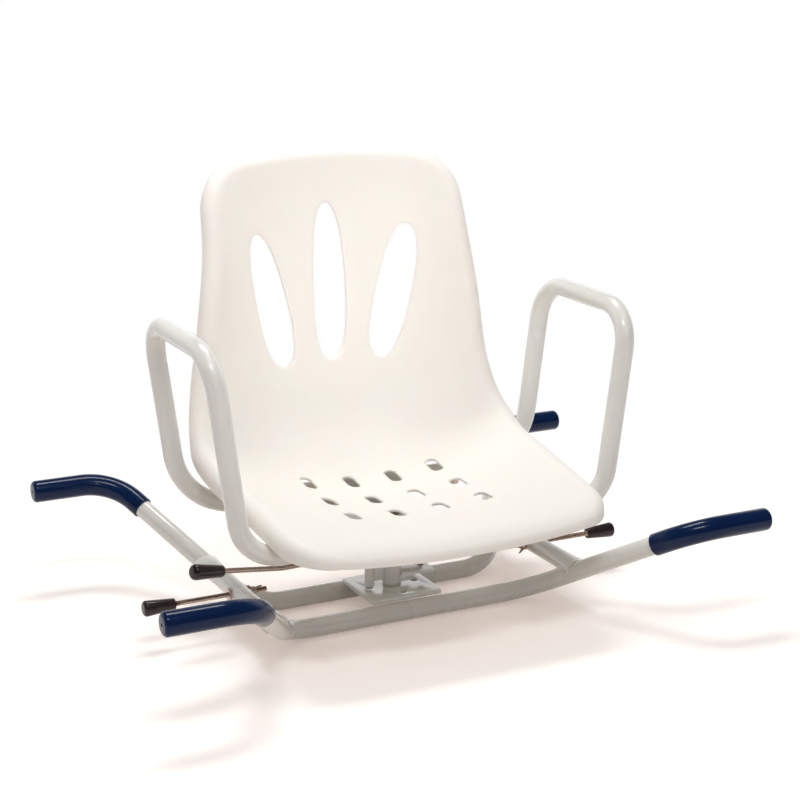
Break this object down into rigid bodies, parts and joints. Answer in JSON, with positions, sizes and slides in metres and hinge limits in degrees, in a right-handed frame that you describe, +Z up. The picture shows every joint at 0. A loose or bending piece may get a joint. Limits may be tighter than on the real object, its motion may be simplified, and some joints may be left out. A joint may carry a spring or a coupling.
{
  "type": "swivel bath seat",
  "caption": "Swivel bath seat: a white moulded seat with armrests that turns and locks on a bent tube base with blue grips resting across a bath.",
  "frame": {"origin": "on the plane the low base tubes stand on, under the swivel axis", "axes": "+Z up along the swivel axis, the seat faces -Y, the lock lever is at -X"},
  "size_m": [0.72, 0.4906, 0.5152],
  "materials": {
    "powder_coat": "semi-gloss white powder coat, slightly grey",
    "shell_plastic": "fine satin moulded plastic, warm white",
    "grip_vinyl": "glossy dipped vinyl, navy blue",
    "bright_steel": "bright plated steel",
    "black_rubber": "smooth black rubber",
    "black_plastic": "glossy black moulded plastic",
    "white_nylon": "plain white nylon"
  },
  "bodies": {
    "base": {"front_base_tube": "powder_coat", "rear_base_tube": "powder_coat", "grip_front_left": "grip_vinyl", "grip_front_right": "grip_vinyl", "grip_rear_left": "grip_vinyl", "grip_rear_right": "grip_vinyl", "left_brace_tube": "powder_coat", "right_brace_tube": "powder_coat", "left_brace_bush": "bright_steel", "right_brace_bush": "bright_steel", "left_rod_washer": "bright_steel", "right_rod_washer": "bright_steel", "pivot_plate": "powder_coat", "pivot_post": "bright_steel", "pivot_washer": "bright_steel", "pivot_bolt": "bright_steel"},
    "seat": {"seat_shell": "shell_plastic", "left_arm_tube": "powder_coat", "right_arm_tube": "powder_coat", "seat_bracket": "powder_coat", "hub_sleeve": "powder_coat", "thrust_washer": "white_nylon", "lower_bush": "white_nylon", "upper_bush": "white_nylon", "pin_housing": "powder_coat", "housing_cap": "bright_steel", "housing_web": "powder_coat", "lever_tab": "powder_coat", "lock_spring": "bright_steel", "screw_washer_front_left": "bright_steel", "seat_screw_front_left": "bright_steel", "screw_washer_front_right": "bright_steel", "seat_screw_front_right": "bright_steel", "screw_washer_rear_left": "bright_steel", "seat_screw_rear_left": "bright_steel", "screw_washer_rear_right": "bright_steel", "seat_screw_rear_right": "bright_steel"},
    "lever": {"lever_rod": "bright_steel", "lever_knob": "black_plastic", "lever_clip": "bright_steel"},
    "lock_pin": {"lock_pin": "bright_steel", "lock_finger": "bright_steel"},
    "left_buffer": {"left_buffer_rod": "bright_steel", "left_buffer_tip": "black_rubber"},
    "right_buffer": {"right_buffer_rod": "bright_steel", "right_buffer_tip": "black_rubber"},
    "left_wing_nut": {"left_wing_nut": "bright_steel"},
    "right_wing_nut": {"right_wing_nut": "bright_steel"}
  },
  "joints": [
    {"name": "seat_swivel", "type": "hinge", "parent": "base", "child": "seat", "pos_m": [0, 0, 0.03], "axis": [0, 0, 1], "continuous": true},
    {"name": "lock_lever", "type": "hinge", "parent": "seat", "child": "lever", "pos_m": [0.041, 0.007, 0.0407], "axis": [0, 1, 0], "range_deg": [0, 3.5]},
    {"name": "lock_pin_slide", "type": "slide", "parent": "seat", "child": "lock_pin", "axis": [0, 0, 1], "range_m": [-0.0044, 0.002], "stiffness_N_per_m": 600, "deforming": ["lock_spring"]},
    {"name": "left_buffer_slide", "type": "slide", "parent": "base", "child": "left_buffer", "axis": [-1, 0, 0], "range_m": [-0.045, 0.008]},
    {"name": "right_buffer_slide", "type": "slide", "parent": "base", "child": "right_buffer", "axis": [1, 0, 0], "range_m": [-0.045, 0.008]},
    {"name": "left_wing_nut_turn", "type": "hinge", "parent": "base", "child": "left_wing_nut", "pos_m": [-0.19097, 0, 0.04829], "axis": [1, 0, 0], "continuous": true},
    {"name": "right_wing_nut_turn", "type": "hinge", "parent": "base", "child": "right_wing_nut", "pos_m": [0.19097, 0, 0.04829], "axis": [1, 0, 0], "continuous": true}
  ]
}
